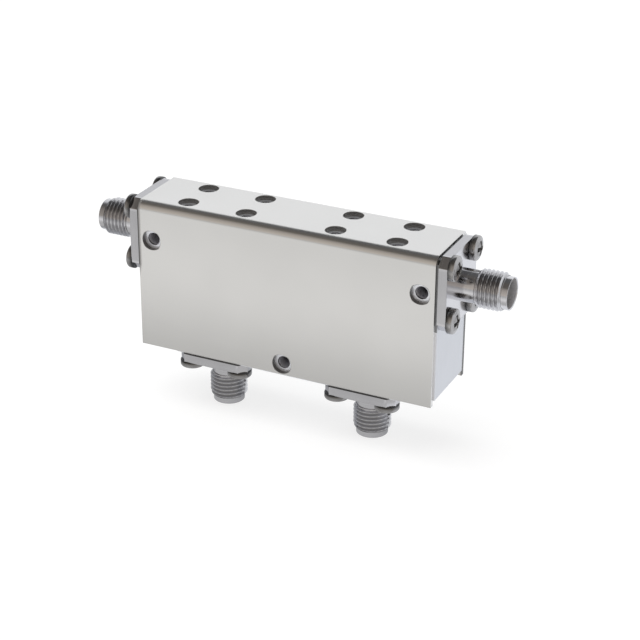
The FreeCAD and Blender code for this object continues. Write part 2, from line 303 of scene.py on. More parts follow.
def ring_cell(outline, centre, radius, rings):
    """Flat band between an outline and the circle's points in the same directions: each ring is a straight
    mix of both, and the power 0.8 sets the rings a little closer at the circle."""
    away = outline - np.array(centre)
    circle = np.array(centre) + radius * away / np.linalg.norm(away, axis=1, keepdims=True)
    mix = (np.linspace(0, 1, rings + 1) ** 0.8)[None, :, None]
    grid = outline[:, None, :] * (1 - mix) + circle[:, None, :] * mix
    return grid.reshape(-1, 2), grid_faces(len(outline), rings + 1, True)


def hole_cell(low, high, segments, centre, radius):
    """Rectangle with a round hole: its four sides, pulled in to the circle."""
    outline = np.concatenate([
        straight(low, (high[0], low[1]), segments[0]),
        straight((high[0], low[1]), high, segments[1]),
        straight(high, (low[0], high[1]), segments[0]),
        straight((low[0], high[1]), low, segments[1]),
    ])
    return ring_cell(outline, centre, radius, rings=4)


def placed(name, data):
    """New object in the scene."""
    made = bpy.data.objects.new(name, data)
    bpy.context.scene.collection.objects.link(made)
    return made


def evaluated_mesh(piece):
    """The piece's mesh with its modifiers worked in."""
    graph = bpy.context.evaluated_depsgraph_get()
    return bpy.data.meshes.new_from_object(piece.evaluated_get(graph), depsgraph=graph)


def work_in(piece):
    """Puts the piece's mesh with its modifiers worked in in place of its old mesh."""
    old = piece.data
    piece.data = evaluated_mesh(piece)
    piece.modifiers.clear()
    bpy.data.meshes.remove(old)


def settled(piece):
    """Works the modifiers in, marks the sharp edges and leaves flat faces evenly shaded."""
    sharp_angle = math.radians(48.0)
    work_in(piece)
    piece.data.shade_smooth()
    piece.data.set_sharp_from_angle(angle=sharp_angle)
    weights = piece.modifiers.new("flat faces lead", "WEIGHTED_NORMAL")
    weights.keep_sharp = True
    weights.weight = 50
    work_in(piece)


def new_piece(name, mesh, material, nodes, finish=None):
    """Object of a finished mesh that rides on the body and stands for the given solids."""
    piece = placed(name, mesh)
    mesh.materials.append(material)
    if finish:
        finish(piece)
    settled(piece)
    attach(piece, BODY)
    if nodes:
        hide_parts(*nodes)
    return piece


def broken_edges(width, degrees=40.0):
    """Finish that rounds every edge sharper than the angle."""
    def finish(piece):
        bevel = piece.modifiers.new("broken edges", "BEVEL")
        bevel.width = width
        bevel.segments = 3
        bevel.limit_method = "ANGLE"
        bevel.angle_limit = math.radians(degrees)
        bevel.use_clamp_overlap = True
    return finish


def thickened(thickness, width):
    """Finish that gives a middle surface its wall and then breaks its edges."""
    def finish(piece):
        wall = piece.modifiers.new("wall", "SOLIDIFY")
        wall.thickness = thickness
        wall.offset = 0.0
        wall.use_even_offset = True
        broken_edges(width)(piece)
    return finish


def feed(tree, inputs, values):
    """Links each named input to the given socket, or sets its constant value."""
    for key, value in values.items():
        if isinstance(value, bpy.types.NodeSocket):
            tree.links.new(value, inputs[key])
        else:
            inputs[key].default_value = value


def add_node(tree, kind, values=None, **options):
    """New node with its options set and its inputs fed."""
    made = tree.nodes.new(kind)
    for key, value in options.items():
        setattr(made, key, value)
    feed(tree, made.inputs, values or {})
    return made


def remapped(tree, value, start, end, low=0.0, high=1.0):
    """The value, spread so that start gives low and end gives high, and held between the two."""
    ends = {"Value": value, "From Min": start, "From Max": end, "To Min": low, "To Max": high}
    return add_node(tree, "ShaderNodeMapRange", ends).outputs["Result"]


def mixed(tree, factor, first, second, **options):
    """Colour between the first and the second, by the factor."""
    parts = {"Factor": factor, 6: first, 7: second}
    return add_node(tree, "ShaderNodeMix", parts, data_type="RGBA", **options).outputs[2]


def mixed_shader(tree, factor, first, second):
    """Shader between the first and the second, by the factor."""
    return add_node(tree, "ShaderNodeMixShader", {"Fac": factor, 1: first, 2: second}).outputs[0]


def tinted(tree, tone, tint):
    """The tone times a tint."""
    return mixed(tree, 1.0, tone, (*tint, 1.0), blend_type="MULTIPLY")


def math_of(tree, operation, first, *others):
    """The first value with each of the others in turn, by one operation."""
    for value in others:
        first = add_node(tree, "ShaderNodeMath", {0: first, 1: value}, operation=operation).outputs[0]
    return first


def less(tree, value, level):
    """Mask of where the value is less than the level."""
    return math_of(tree, "LESS_THAN", value, level)


def more(tree, value, level):
    """Mask of where the value is greater than the level."""
    return math_of(tree, "GREATER_THAN", value, level)


def all_of(tree, *masks):
    """Mask of where all the masks hold."""
    return math_of(tree, "MULTIPLY", *masks)


def any_of(tree, *masks):
    """Mask of where at least one of the masks holds."""
    return math_of(tree, "MAXIMUM", *masks)


def vector_of(tree, operation, *vectors):
    """Result of an operation on one or two vectors."""
    return add_node(tree, "ShaderNodeVectorMath", dict(enumerate(vectors)), operation=operation).outputs


def split(tree, vector):
    """The three parts of a vector."""
    return add_node(tree, "ShaderNodeSeparateXYZ", {0: vector}).outputs


def grey_ramp(tree, value, stops):
    """Grey level at the value, along a ramp with the given (place, level) stops."""
    made = add_node(tree, "ShaderNodeValToRGB", {"Fac": value})
    line = made.color_ramp
    line.elements.remove(line.elements[1])
    line.elements[0].position = stops[0][0]
    line.elements[0].color = (*[stops[0][1]] * 3, 1.0)
    for place, level in stops[1:]:
        line.elements.new(place).color = (*[level] * 3, 1.0)
    return made.outputs["Color"]


def object_place(tree):
    """Place on the piece, in its object's own coordinates."""
    return add_node(tree, "ShaderNodeTexCoord").outputs["Object"]


def attribute(tree, name, part="Fac"):
    """The piece's own attribute of this name."""
    return add_node(tree, "ShaderNodeAttribute", attribute_name=name).outputs[part]


def new_group(name, given, made):
    """Node group with named sockets of the given kinds, and the inner side of its inputs."""
    tree = bpy.data.node_groups.new(name, "ShaderNodeTree")
    for side, sockets in (("INPUT", given), ("OUTPUT", made)):
        for label, kind in sockets.items():
            tree.interface.new_socket(name=label, in_out=side, socket_type="NodeSocket" + kind)
    return tree, add_node(tree, "NodeGroupInput").outputs


def metal_finish_group():
    """Node group for worked metal: fine streaks drawn out by the stretch, broad soft blotches, and from
    them a colour between two tones, a roughness between two values and a height. Painted shade pulls the
    masked spots, mostly recesses and gaps, towards a tone of their own."""
    if "worked_metal" in bpy.data.node_groups:
        return bpy.data.node_groups["worked_metal"]
    tree, given = new_group("worked_metal", {
        "Place": "Vector",
        "Stretch": "Vector",
        "Blotch Scale": "Float",
        "Blotch Share": "Float",
        "Light Tone": "Color",
        "Deep Tone": "Color",
        "Recess": "Float",
        "Recess Tone": "Color",
        "Low Roughness": "Float",
        "High Roughness": "Float",
    }, {"Colour": "Color", "Roughness": "Float", "Height": "Float"})
    drawn = add_node(tree, "ShaderNodeMapping", {"Vector": given["Place"], "Scale": given["Stretch"]})
    fine = {"Vector": drawn.outputs["Vector"], "Scale": 1.0, "Detail": 3.0, "Roughness": 0.6}
    streak = add_node(tree, "ShaderNodeTexNoise", fine).outputs["Fac"]
    broad = {"Vector": given["Place"], "Scale": given["Blotch Scale"], "Detail": 2.0, "Roughness": 0.5}
    blotch = add_node(tree, "ShaderNodeTexNoise", broad).outputs["Fac"]
    parts = {"Factor": given["Blotch Share"], "A": streak, "B": blotch}
    pattern = add_node(tree, "ShaderNodeMix", parts, data_type="FLOAT").outputs["Result"]
    tone = mixed(tree, remapped(tree, pattern, *NOISE_RANGE), given["Deep Tone"], given["Light Tone"])
    add_node(tree, "NodeGroupOutput", {
        "Colour": mixed(tree, given["Recess"], tone, given["Recess Tone"]),
        "Roughness": remapped(tree, streak, *NOISE_RANGE, given["Low Roughness"], given["High Roughness"]),
        "Height": streak,
    })
    return tree


def worked_metal(name, stretch, blotch, tones, roughness, height, metallic=1.0, sunk=None, matte=0.0,
                 own=False):
    """Principled material whose colour, roughness and bump come from the worked metal group. Its place is
    Object coordinates, or the piece's attribute own_place. The given mask function marks painted shade in the
    recesses and gaps, which pulls them towards the shade tone, and they are less metallic by matte."""
    material = bpy.data.materials.new(name)
    material.use_nodes = True
    tree = material.node_tree
    # Painted shade: mask of the spots that are darkened towards the shade tone
    recess = sunk(tree) if sunk else 0.0
    finish = add_node(tree, "ShaderNodeGroup", {
        "Place": attribute(tree, "own_place", "Vector") if own else object_place(tree),
        "Stretch": stretch,
        "Blotch Scale": blotch[0],
        "Blotch Share": blotch[1],
        "Light Tone": (*tones[0], 1.0),
        "Deep Tone": (*tones[1], 1.0),
        "Recess": recess,
        "Recess Tone": MATTE_SHADE_TONE if matte else SHADE_TONE,
        "Low Roughness": roughness[0],
        "High Roughness": roughness[1],
    }, node_tree=metal_finish_group()).outputs
    raised = {"Strength": 0.5, "Distance": height, "Height": finish["Height"]}
    bump = add_node(tree, "ShaderNodeBump", raised)
    feed(tree, tree.nodes["Principled BSDF"].inputs, {
        "Base Color": finish["Colour"],
        "Metallic": remapped(tree, recess, 0.0, 1.0, metallic, metallic - matte) if matte else metallic,
        "Roughness": finish["Roughness"],
        "Normal": bump.outputs["Normal"],
    })
    return material


def painted_shade_attribute(tree):
    """The piece's own attribute that says how much painted shade each point has."""
    return attribute(tree, "recess")


def block_directions(tree):
    """Parts of three vectors on the block: the distance from its middle, the place, and how squarely the
    surface faces along each axis."""
    low, high = node_corners("housing")
    place = object_place(tree)
    offset = vector_of(tree, "SUBTRACT", place, tuple((low + high) / 2))[0]
    normal = add_node(tree, "ShaderNodeNewGeometry").outputs["True Normal"]
    apart = vector_of(tree, "ABSOLUTE", offset)[0]
    facing = vector_of(tree, "ABSOLUTE", normal)[0]
    return split(tree, apart), split(tree, place), split(tree, facing)


def block_painted_shade(tree):
    """Mask of painted shade on the block's hidden corners, from place and surface direction: the walls of its
    holes, in part the strips of its front and back beside the flanges, and the foot below the cover."""
    raised_ends = 1.6 * MM
    foot_band = 0.1 * MM
    end_shade = 0.6
    low, high = node_corners("housing")
    half = (high - low) / 2
    cover_foot = node_corners("shield_cover")[0][2]
    apart, place, facing = block_directions(tree)
    inside_x = less(tree, apart["X"], half[0] - FACE_MARGIN)
    inside_y = less(tree, apart["Y"], half[1] - FACE_MARGIN)
    inside_z = less(tree, apart["Z"], half[2] - raised_ends)
    upper = more(tree, place["Z"], (low[2] + high[2]) / 2)
    below_top = less(tree, place["Z"], high[2] - FACE_MARGIN)
    holes = all_of(tree, inside_y, any_of(tree, inside_z, all_of(tree, upper, below_top)), inside_x)
    # Painted shade on the strips left open between the cover's ends and the flanges
    at_end = more(tree, apart["X"], half[0] - END_STRIP)
    front = more(tree, facing["Y"], 0.5)
    ends = all_of(tree, at_end, front, more(tree, place["Z"], flange_foot()), end_shade)
    # Painted shade in the gap below the cover's lower edge
    foot = less(tree, place["Z"], cover_foot + foot_band)
    upright = less(tree, facing["Z"], 0.5)
    return any_of(tree, holes, ends, all_of(tree, foot, upright))


def painted_light_faces(tree):
    """Mask of painted light: the block's front and back under the cover, without the strips beside the end
    flanges.
    """
    low, high = node_corners("housing")
    half = (high - low) / 2
    apart, place, facing = block_directions(tree)
    outer = more(tree, apart["Y"], half[1] - FACE_MARGIN)
    square = more(tree, facing["Y"], 0.9)
    inner = less(tree, apart["X"], half[0] - END_STRIP)
    below = less(tree, place["Z"], flange_foot())
    return all_of(tree, outer, square, any_of(tree, inner, below))


def tones_of(settings):
    """Light and deep tone of a group of settings."""
    return settings.light_metal, settings.deep_metal


def sheet_metal(settings):
    """Annealed shielding sheet: satin, with a faint rolled grain along the block."""
    # Painted shade from the piece's attribute darkens the hole walls and cut ends
    return worked_metal("annealed_sheet", (60.0, 2600.0, 2600.0), (90.0, 0.75), tones_of(settings),
                        (0.25, 0.27), 5e-8, sunk=painted_shade_attribute, matte=0.6)


def block_metal(settings):
    """Milled and plated block: pale, with faint cutter lines, and with painted light, a brighter tone, on its
    covered faces.
    """
    material = worked_metal("milled_block", (1800.0, 1800.0, 90.0), (160.0, 0.4), tones_of(settings),
                            (0.32, 0.46), 2e-6, 0.8, sunk=block_painted_shade)
    tree = material.node_tree
    base = tree.nodes["Principled BSDF"].inputs["Base Color"]
    open_tone = base.links[0].from_socket
    # Painted light: the covered faces, seen as rings inside the holes, take a brighter tone
    tree.links.new(mixed(tree, painted_light_faces(tree), open_tone, (*settings.covered_painted_light, 1.0)), base)
    return material


def jack_metal(settings):
    """Turned steel: lathe lines round the jack's own line. The inside of the mouth is less metallic."""
    # Painted shade from the piece's attribute darkens the thread roots, the flange's flat sides and its back
    material = worked_metal("turned_steel", (90.0, 90.0, 5200.0), (300.0, 0.35), tones_of(settings),
                            (0.10, 0.20), 3e-6, sunk=painted_shade_attribute, own=True)
    tree = material.node_tree
    matte = remapped(tree, attribute(tree, "hollow"), 0.0, 1.0, 1.0, 1.0 - settings.hollow)
    tree.links.new(matte, tree.nodes["Principled BSDF"].inputs["Metallic"])
    return material


def screw_metal(settings):
    """Plated screw steel, a little rougher and duller than the jacks."""
    # Painted shade from the piece's attribute darkens the cross recess and the foot of each head
    return worked_metal("plated_screw", (900.0, 900.0, 2600.0), (700.0, 0.5), tones_of(settings),
                        (0.16, 0.30), 4e-6, sunk=painted_shade_attribute, own=True)


def thread_metal():
    """Thread turns inside the tapped holes."""
    tones = ((0.62, 0.62, 0.67), (0.46, 0.46, 0.51))
    return worked_metal("cut_thread", (1500.0, 1500.0, 1500.0), (400.0, 0.5), tones, (0.25, 0.40), 2e-6, 0.6)


def inner_material(name, tones, roughness, metallic):
    """Plain worked finish for a piece inside the block or down in a jack."""
    return worked_metal(name, (900.0, 900.0, 900.0), (500.0, 0.5), tones, roughness, 2e-6, metallic)


def mount(name):
    """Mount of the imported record, by name."""
    for entry in frame["record"]["mounts"]:
        if entry["name"] == name:
            return entry
    raise ValueError("the record has no mount named " + name)


def hole_centres(*names):
    """Centres of the holes of these mounts, in rows, in rectangles or single, in the row frame."""
    centres = []
    for name in names:
        entry = mount(name)
        across = [i for i in range(3) if not entry["axis"][i]]
        offsets = []
        for place, key in zip(across, ("spacing_x_mm", "spacing_y_mm")):
            step = np.zeros(3)
            step[place] = entry["dims"].get(key, 0.0) * MM / 2
            offsets.append((-step, step) if step.any() else (step,))
        centre = np.array(entry["pos_m"])
        centres += [centre + first + second for first in offsets[0] for second in offsets[1]]
    return centres


def sheet_lengths(low, high, wall, inner_radius):
    """Lengths of the front's climb, of a quarter bend along the sheet's middle, and of the top's run."""
    outer_radius = inner_radius + wall
    quarter = (inner_radius + wall / 2) * math.pi / 2
    return high[2] - outer_radius - low[2], quarter, high[1] - low[1] - 2 * outer_radius


def cover_points(flat, low, high, wall, inner_radius):
    """Folds the flat sheet (u, s) about its middle surface: s climbs the front, turns a quarter circle,
    runs back along the top, turns again and goes down the back."""
    middle_radius = inner_radius + wall / 2
    climb, quarter, run = sheet_lengths(low, high, wall, inner_radius)
    u, s = flat[:, 0], flat[:, 1]
    first = np.clip((s - climb) / quarter, 0, 1) * math.pi / 2
    second = np.clip((s - climb - quarter - run) / quarter, 0, 1) * math.pi / 2
    up = np.clip(s, 0, climb)
    back = np.clip(s - climb - quarter, 0, run)
    down = np.clip(s - climb - 2 * quarter - run, 0, None)
    y = low[1] + wall / 2 + middle_radius * (1 - np.cos(first)) + back + middle_radius * np.sin(second)
    z = low[2] + up + middle_radius * np.sin(first) - middle_radius * (1 - np.cos(second)) - down
    return np.stack([u, y, z], axis=-1)


def cover_lines(settings, low, high, wall):
    """Grid lines of the flat sheet, its holes as (u, s), and the start and end of both bends."""
    climb, quarter, run = sheet_lengths(low, high, wall, settings.bend_inner_radius)
    reach = settings.hole_diameter / 2 + settings.cell_margin
    top_start = climb + quarter - low[1] - settings.bend_inner_radius - wall
    holes = [(p[0], p[2] - low[2]) for p in hole_centres(*FRONT_HOLES)]
    holes += [(p[0], top_start + p[1]) for p in hole_centres(*TOP_HOLES)]
    bends = ((climb, climb + quarter), (climb + quarter + run, climb + 2 * quarter + run))
    u_lines = {low[0], low[0] + settings.end_gap, high[0] - settings.end_gap, high[0]}
    s_lines = {0.0, *bends[0], *bends[1], bends[1][1] + climb}
    for u, s in holes:
        u_lines.update((u - reach, u + reach))
        s_lines.update((max(s - reach, 0.0), s + reach))
    return distinct(u_lines), distinct(s_lines), holes, bends


def distinct(values):
    """Sorted values with near repeats taken out."""
    kept = []
    for value in sorted(values):
        if not kept or value - kept[-1] > TINY:
            kept.append(value)
    return kept


def segments_between(low, high, holes, axis):
    """Fine steps on a strip that holds a hole, and a few on a plain one."""
    if any(low < hole[axis] < high for hole in holes):
        return FINE_STEPS
    return max(1, round((high - low) / PLAIN_STEP))


def cover_mesh(settings):
    """Middle surface of the folded sheet: flat cells with round holes where they belong, then folded. At
    both ends only the back is there."""
    low, high = node_corners("shield_cover")
    wall = node_corners("housing")[0][1] - low[1]
    u_lines, s_lines, holes, bends = cover_lines(settings, low, high, wall)
    cells = []
    for u_low, u_high in zip(u_lines, u_lines[1:]):
        at_end = u_low == u_lines[0] or u_high == u_lines[-1]
        for s_low, s_high in zip(s_lines, s_lines[1:]):
            if at_end and s_low < bends[1][1] - TINY:
                continue
            here = [hole for hole in holes if u_low < hole[0] < u_high and s_low < hole[1] < s_high]
            bent = any(abs(s_low - start) < TINY for start, end in bends)
            along = FINE_STEPS if bent else segments_between(s_low, s_high, holes, 1)
            area = (u_low, s_low), (u_high, s_high), (segments_between(u_low, u_high, holes, 0), along)
            if here:
                cells.append(hole_cell(*area, here[0], settings.hole_diameter / 2))
            else:
                cells.append(plain_cell(*area))
    flat, faces = joined(cells)
    points = cover_points(flat, low, high, wall, settings.bend_inner_radius)
    return mesh_from_faces("cover_sheet", points, faces), wall


def cover_painted_shade(points, settings):
    """How much painted shade each point of the cover has: the cut walls of its holes, the cut ends of its
    back, and the left end of its front beside the flange."""
    low, high = node_corners("shield_cover")
    reach = settings.hole_diameter / 2 + 1.5 * SLACK
    top_shade = 0.75
    sheet = 0.9 * MM
    end_band = 0.1 * MM
    x, y, z = points.T
    shaded = np.zeros(len(points))
    for centre in hole_centres(*FRONT_HOLES):
        shaded[(np.hypot(x - centre[0], z - centre[2]) < reach) & (y < 0)] = 1.0
    for centre in hole_centres(*TOP_HOLES):
        shaded[(np.hypot(x - centre[0], y - centre[1]) < reach) & (z > centre[2] - MM)] = top_shade
    shaded[(np.abs(x) > high[0] - end_band) & (y > 0)] = 1.0
    shaded[(x < low[0] + settings.end_gap + SLACK) & (z > flange_foot()) & (y < low[1] + sheet)] = 1.0
    return shaded


def jack_frame(port):
    """Seat and turn of a jack: its own upward line points outwards, as in the solids."""
    low, high = node_corners("connector_shell_" + port)
    turn = Matrix.Rotation(math.radians(JACKS[port]), 3, "Y")
    outward = np.array(turn @ Vector((0.0, 0.0, 1.0))).round(6)
    middle = (low + high) / 2
    seat = middle - outward * abs((high - low) @ outward) / 2
    return seat, np.array(turn)


def jack_length():
    """Length of a jack from its seat to the end of its mouth."""
    low, high = node_corners("connector_shell_right")
    return high[0] - low[0]


def thread_ends(settings):
    """Heights at which a jack's thread starts and ends."""
    return settings.flange_thickness + settings.neck_length, jack_length() - settings.pilot_length


def barrel_thread(settings, steps):
    """Radii of the thread by angle and height: the crest less the ridge height times a V of the phase
    z / pitch - angle / turn, flat on its crest and, as ramp * (1.5 - ramp / 2), round in its root, and never
    more than a cone at 45 degrees from either end."""
    crest = settings.thread_diameter / 2
    low, high = thread_ends(settings)
    rows_per_pitch = 22
    crest_flat = 0.14
    flank = 0.66
    end_drop = 0.45 * MM
    tall = np.linspace(low, high, int(rows_per_pitch * (high - low) / settings.thread_pitch))
    turn = np.linspace(0, 1, steps, endpoint=False)[:, None]
    phase = (tall[None, :] / settings.thread_pitch - turn) % 1.0
    ramp = np.clip((np.abs(2 * phase - 1) - crest_flat) / flank, 0, 1)
    radius = crest - settings.thread_height * ramp * (1.5 - 0.5 * ramp)
    start = settings.neck_diameter / 2 + (tall - low)
    end = crest - end_drop + (high - tall)
    return np.minimum(radius, np.minimum(start, end)[None, :]), tall


def barrel_surface(settings):
    """Turned surface from the seat over neck, thread, pilot and mouth, and back down the bore."""
    length = jack_length()
    neck = settings.neck_diameter / 2
    root = settings.thread_diameter / 2 - settings.thread_height
    pilot = settings.pilot_diameter / 2
    mouth = settings.mouth_diameter / 2
    bore = settings.bore_diameter / 2
    thread_low, thread_high = thread_ends(settings)
    lower = rounded([(bore, 0.0), (neck, 0.0), (neck, thread_low), (root, thread_low)], settings.edge_break)
    upper = rounded([
        (root, thread_high),
        (pilot, thread_high),
        (pilot, length),
        (mouth + settings.mouth_chamfer, length),
        (mouth, length - settings.mouth_chamfer),
        (mouth, length - settings.mouth_depth),
        (bore, length - settings.mouth_depth),
        (bore, 0.0),
    ], settings.edge_break / 2)
    steps = 144
    radius, tall = barrel_thread(settings, steps)
    below = np.broadcast_to(lower[:, 0], (steps, len(lower)))
    above = np.broadcast_to(upper[:, 0], (steps, len(upper)))
    radii = np.concatenate([below, radius, above], axis=1)
    return turned(radii, np.concatenate([lower[:, 1], tall, upper[:, 1]]))


def flange_middle(settings, chamfer):
    """Middle surface of the square flange: nine cells, one hole in each corner cell and one in the centre,
    with the outer corners cut off."""
    low, high = node_corners("connector_shell_right")
    half = (high[1] - low[1]) / 2
    inner = 2.85 * MM
    overlap = 0.05 * MM
    segments = 10
    screw = settings.screw_pitch / 2
    neck = settings.neck_diameter / 2 - overlap
    cut = half - chamfer
    centre = hole_cell((-inner, -inner), (inner, inner), (segments, segments), (0, 0), neck)
    outline = np.concatenate([
        straight((inner, inner), (half, inner), segments),
        straight((half, inner), (half, cut), 4),
        straight((half, cut), (cut, half), 8),
        straight((cut, half), (inner, half), 4),
        straight((inner, half), (inner, inner), segments),
    ])
    corner = ring_cell(outline, (screw, screw), settings.screw_hole / 2, rings=3)
    side = plain_cell((inner, -inner), (half, inner), (segments, segments))
    cells = [centre]
    for quarter in range(4):
        turn = np.linalg.matrix_power(np.array([[0, -1], [1, 0]]), quarter)
        cells.append((corner[0] @ turn.T, corner[1]))
        cells.append((side[0] @ turn.T, side[1]))
    flat, faces = joined(cells)
    tall = np.full((len(flat), 1), settings.flange_thickness / 2)
    return np.concatenate([flat, tall], axis=1), faces


def write_share(mesh, name, values):
    """Keeps a value from nought to one for each point as an attribute for the piece's material."""
    field = mesh.attributes.new(name, "FLOAT", "POINT")
    field.data.foreach_set("value", np.clip(values, 0, 1).astype(np.float32))


def mesh_points(mesh):
    """All points of a mesh as an array."""
    points = np.empty(len(mesh.vertices) * 3, dtype=np.float32)
    mesh.vertices.foreach_get("co", points)
    return points.reshape(-1, 3)


def move_out(mesh, own, port):
    """Keeps each point's own place as an attribute, then moves the mesh out of the jack's own frame."""
    seat, turn = jack_frame(port)
    mesh.attributes.new("own_place", "FLOAT_VECTOR", "POINT").data.foreach_set("vector", flat_row(own))
    mesh.vertices.foreach_set("co", flat_row(own @ turn.T + seat))
    mesh.update()


def jack_mesh(settings, chamfer):
    """Flange and barrel of one jack, in its own frame."""
    plate = placed("flange", mesh_from_faces("flange", *flange_middle(settings, chamfer)))
    thickened(settings.flange_thickness, settings.edge_break)(plate)
    flange = evaluated_mesh(plate)
    bpy.data.objects.remove(plate)
    barrel = mesh_from_faces("barrel", *barrel_surface(settings))
    return merged_mesh(bpy.data.meshes.new("jack"), [flange, barrel])


def jack_painted_shade(settings, own, rim, shade_share):
    """How much painted shade each point of a jack has: on the thread the share of the ridge's height below
    the crest, on the flat sides of the flange the given share, and all of it on the flange's back."""
    low, high = thread_ends(settings)
    rim_reach, rim_width, back_reach, runout = 6 * MM, 4.7 * MM, 5 * MM, 0.1 * MM
    x, y, z = own.T
    on_thread = (z > low + settings.thread_height) & (z < high - runout)
    ridge = (settings.thread_diameter / 2 - np.hypot(x, y)) / settings.thread_height
    reach = np.maximum(np.abs(x), np.abs(y))
    across = np.minimum(np.abs(x), np.abs(y))
    on_rim = (z < settings.flange_thickness + SLACK) & (reach > rim_reach) & (across < rim_width)
    on_back = (z < 3 * SLACK) & (reach > back_reach)
    return np.where(on_thread, ridge * shade_share, 0) + np.where(on_back, 1.0, np.where(on_rim, rim, 0))


def inside_mouth(settings, own):
    """Mask of the points inside a jack's mouth."""
    x, y, z = own.T
    floor = jack_length() - settings.mouth_depth - MM
    return (np.hypot(x, y) < settings.mouth_diameter / 2 + SLACK) & (z > floor)


def screw_painted_shade(settings, own, jack):
    """How much painted shade each point of a flange's screws has: all of it down in the cross recess, and a
    part at the foot of the head's side, where it meets the flange."""
    top = jack.flange_thickness + settings.side_height + settings.crown_height
    foot, lip, shade, wall_allowance = 0.1 * MM, 0.08 * MM, 0.3, 1.02
    x, y = np.abs(np.abs(own[:, :2]) - jack.screw_pitch / 2).T
    z = own[:, 2]
    away = np.hypot(x, y)
    inside = away < settings.recess_span / 2 * wall_allowance
    on_side = (np.abs(z - jack.flange_thickness) < foot) & (away > settings.head_diameter / 2 - foot)
    depth = (top - z - lip) / (settings.recess_depth * shade)
    return np.where(inside & (z > 0), depth, np.where(on_side, settings.side_shade_share, 0))


def cross_reach(turn, settings):
    """Distance from the screw's middle to the edge of its cross recess, in each direction: the nearer of
    the arm's end, half span / cos, and its side, half width / sin, of the angle folded into 45 degrees."""
    folded = np.abs((turn + math.pi / 4) % (math.pi / 2) - math.pi / 4)
    end = settings.recess_span / 2 / np.cos(folded)
    side = settings.recess_width / 2 / np.maximum(np.sin(folded), 1e-6)
    return np.minimum(end, side)


def screw_directions(settings):
    """Even directions about the screw, and those of the recess's arms and corners."""
    full = 2 * math.pi
    even_count = 88
    corner = math.atan2(settings.recess_width, settings.recess_span)
    even = np.linspace(0, full, even_count, endpoint=False)
    eighths = np.arange(0, full, math.pi / 4)
    quarters = np.arange(0, full, math.pi / 2)
    turn = np.concatenate([even, eighths, quarters + corner, quarters - corner + full]) % full
    return np.unique(turn.round(5))


def screw_surface(settings, under):
    """Pan-head screw: for each direction a profile from the recess's floor up its tapered wall, over the
    domed crown, round the edge, down the side and along the shank. The crown falls with the square of the
    distance from the middle."""
    head = settings.head_diameter / 2
    shank = settings.shank_diameter / 2
    side_top = under + settings.side_height
    edge_radius, floor_dip = 0.32 * MM, 0.12 * MM
    foot_chamfer, tip_chamfer = 0.08 * MM, 0.2 * MM
    wide = 1.05
    turn = screw_directions(settings)
    reach = cross_reach(turn, settings)

    def crown(radius):
        return side_top + settings.crown_height * (1 - (radius / head) ** 2)

    floor = side_top + settings.crown_height - settings.recess_depth
    columns = [(0.0, floor - floor_dip)]
    for taper, depth in ((0.62, 0.0), (0.72, 0.06), (0.93, 0.9), (1.0, 1.0), (wide, 1.0)):
        radius = reach * taper
        columns.append((radius, floor + (crown(radius) - floor) * depth))
    edge = head - edge_radius
    for done in (0.25, 0.5, 0.75, 1.0):
        radius = reach * wide * (1 - done) + edge * done
        columns.append((radius, crown(radius)))
    for bend in np.radians([20, 40, 60, 80, 90]):
        drop = edge_radius * (1 - math.cos(bend))
        columns.append((edge + edge_radius * math.sin(bend), crown(edge) - drop))
    columns += [
        (head, under + foot_chamfer),
        (head - foot_chamfer, under),
        (shank, under),
        (shank, tip_chamfer - settings.grip),
        (shank - tip_chamfer, -settings.grip),
        (0.0, -settings.grip),
    ]
    radii = np.stack([np.broadcast_to(radius, turn.shape) for radius, tall in columns], axis=1)
    heights = np.stack([np.broadcast_to(tall, turn.shape) for radius, tall in columns], axis=1)
    points = np.stack([radii * np.cos(turn)[:, None], radii * np.sin(turn)[:, None], heights], axis=-1)
    return points.reshape(-1, 3), grid_faces(len(turn), len(columns), True)


def four_screws(settings, jack, draw):
    """Four screws of one flange in the jack's own frame, each turned by its own drawn angle."""
    points, faces = screw_surface(settings, jack.flange_thickness)
    half = jack.screw_pitch / 2
    parts = []
    for x in (-half, half):
        for y in (-half, half):
            turn = draw.uniform(0, math.pi / 2)
            cosine, sine = math.cos(turn), math.sin(turn)
            spin = np.array([[cosine, -sine, 0], [sine, cosine, 0], [0, 0, 1]])
            parts.append((points @ spin.T + np.array([x, y, 0]), faces))
    return joined(parts)


def thread_turns(radius, height, pitch, depth):
    """Ridge of a tapped hole's thread, going down from z = 0: a four-cornered section carried along a helix
    of the wall's radius, where z = -pitch * angle / turn. It swells up from nothing at both ends."""
    per_turn = 28
    open_turns = 1.2
    first_turn = 0.6
    foot, top = 0.38, 0.06
    swell_rate, least_swell = 4, 0.05
    count = int(per_turn * (depth / pitch - open_turns)) + 1
    turn = np.arange(count) / per_turn
    swell = np.clip(np.minimum(turn, turn[-1] - turn) * swell_rate, least_swell, 1)
    around = turn * 2 * math.pi
    rows = []
    for inward, rise in ((0.0, foot), (height, top), (height, -top), (0.0, -foot)):
        reach = radius - inward * swell
        tall = -pitch * (turn + first_turn) + rise * pitch * swell
        rows.append(np.stack([reach * np.cos(around), reach * np.sin(around), tall], axis=-1))
    points = np.stack(rows, axis=0).reshape(-1, 3)
    first = np.arange(4) * count
    caps = np.array([first, first[::-1] + count - 1])
    return points, np.concatenate([grid_faces(4, count, True), caps])


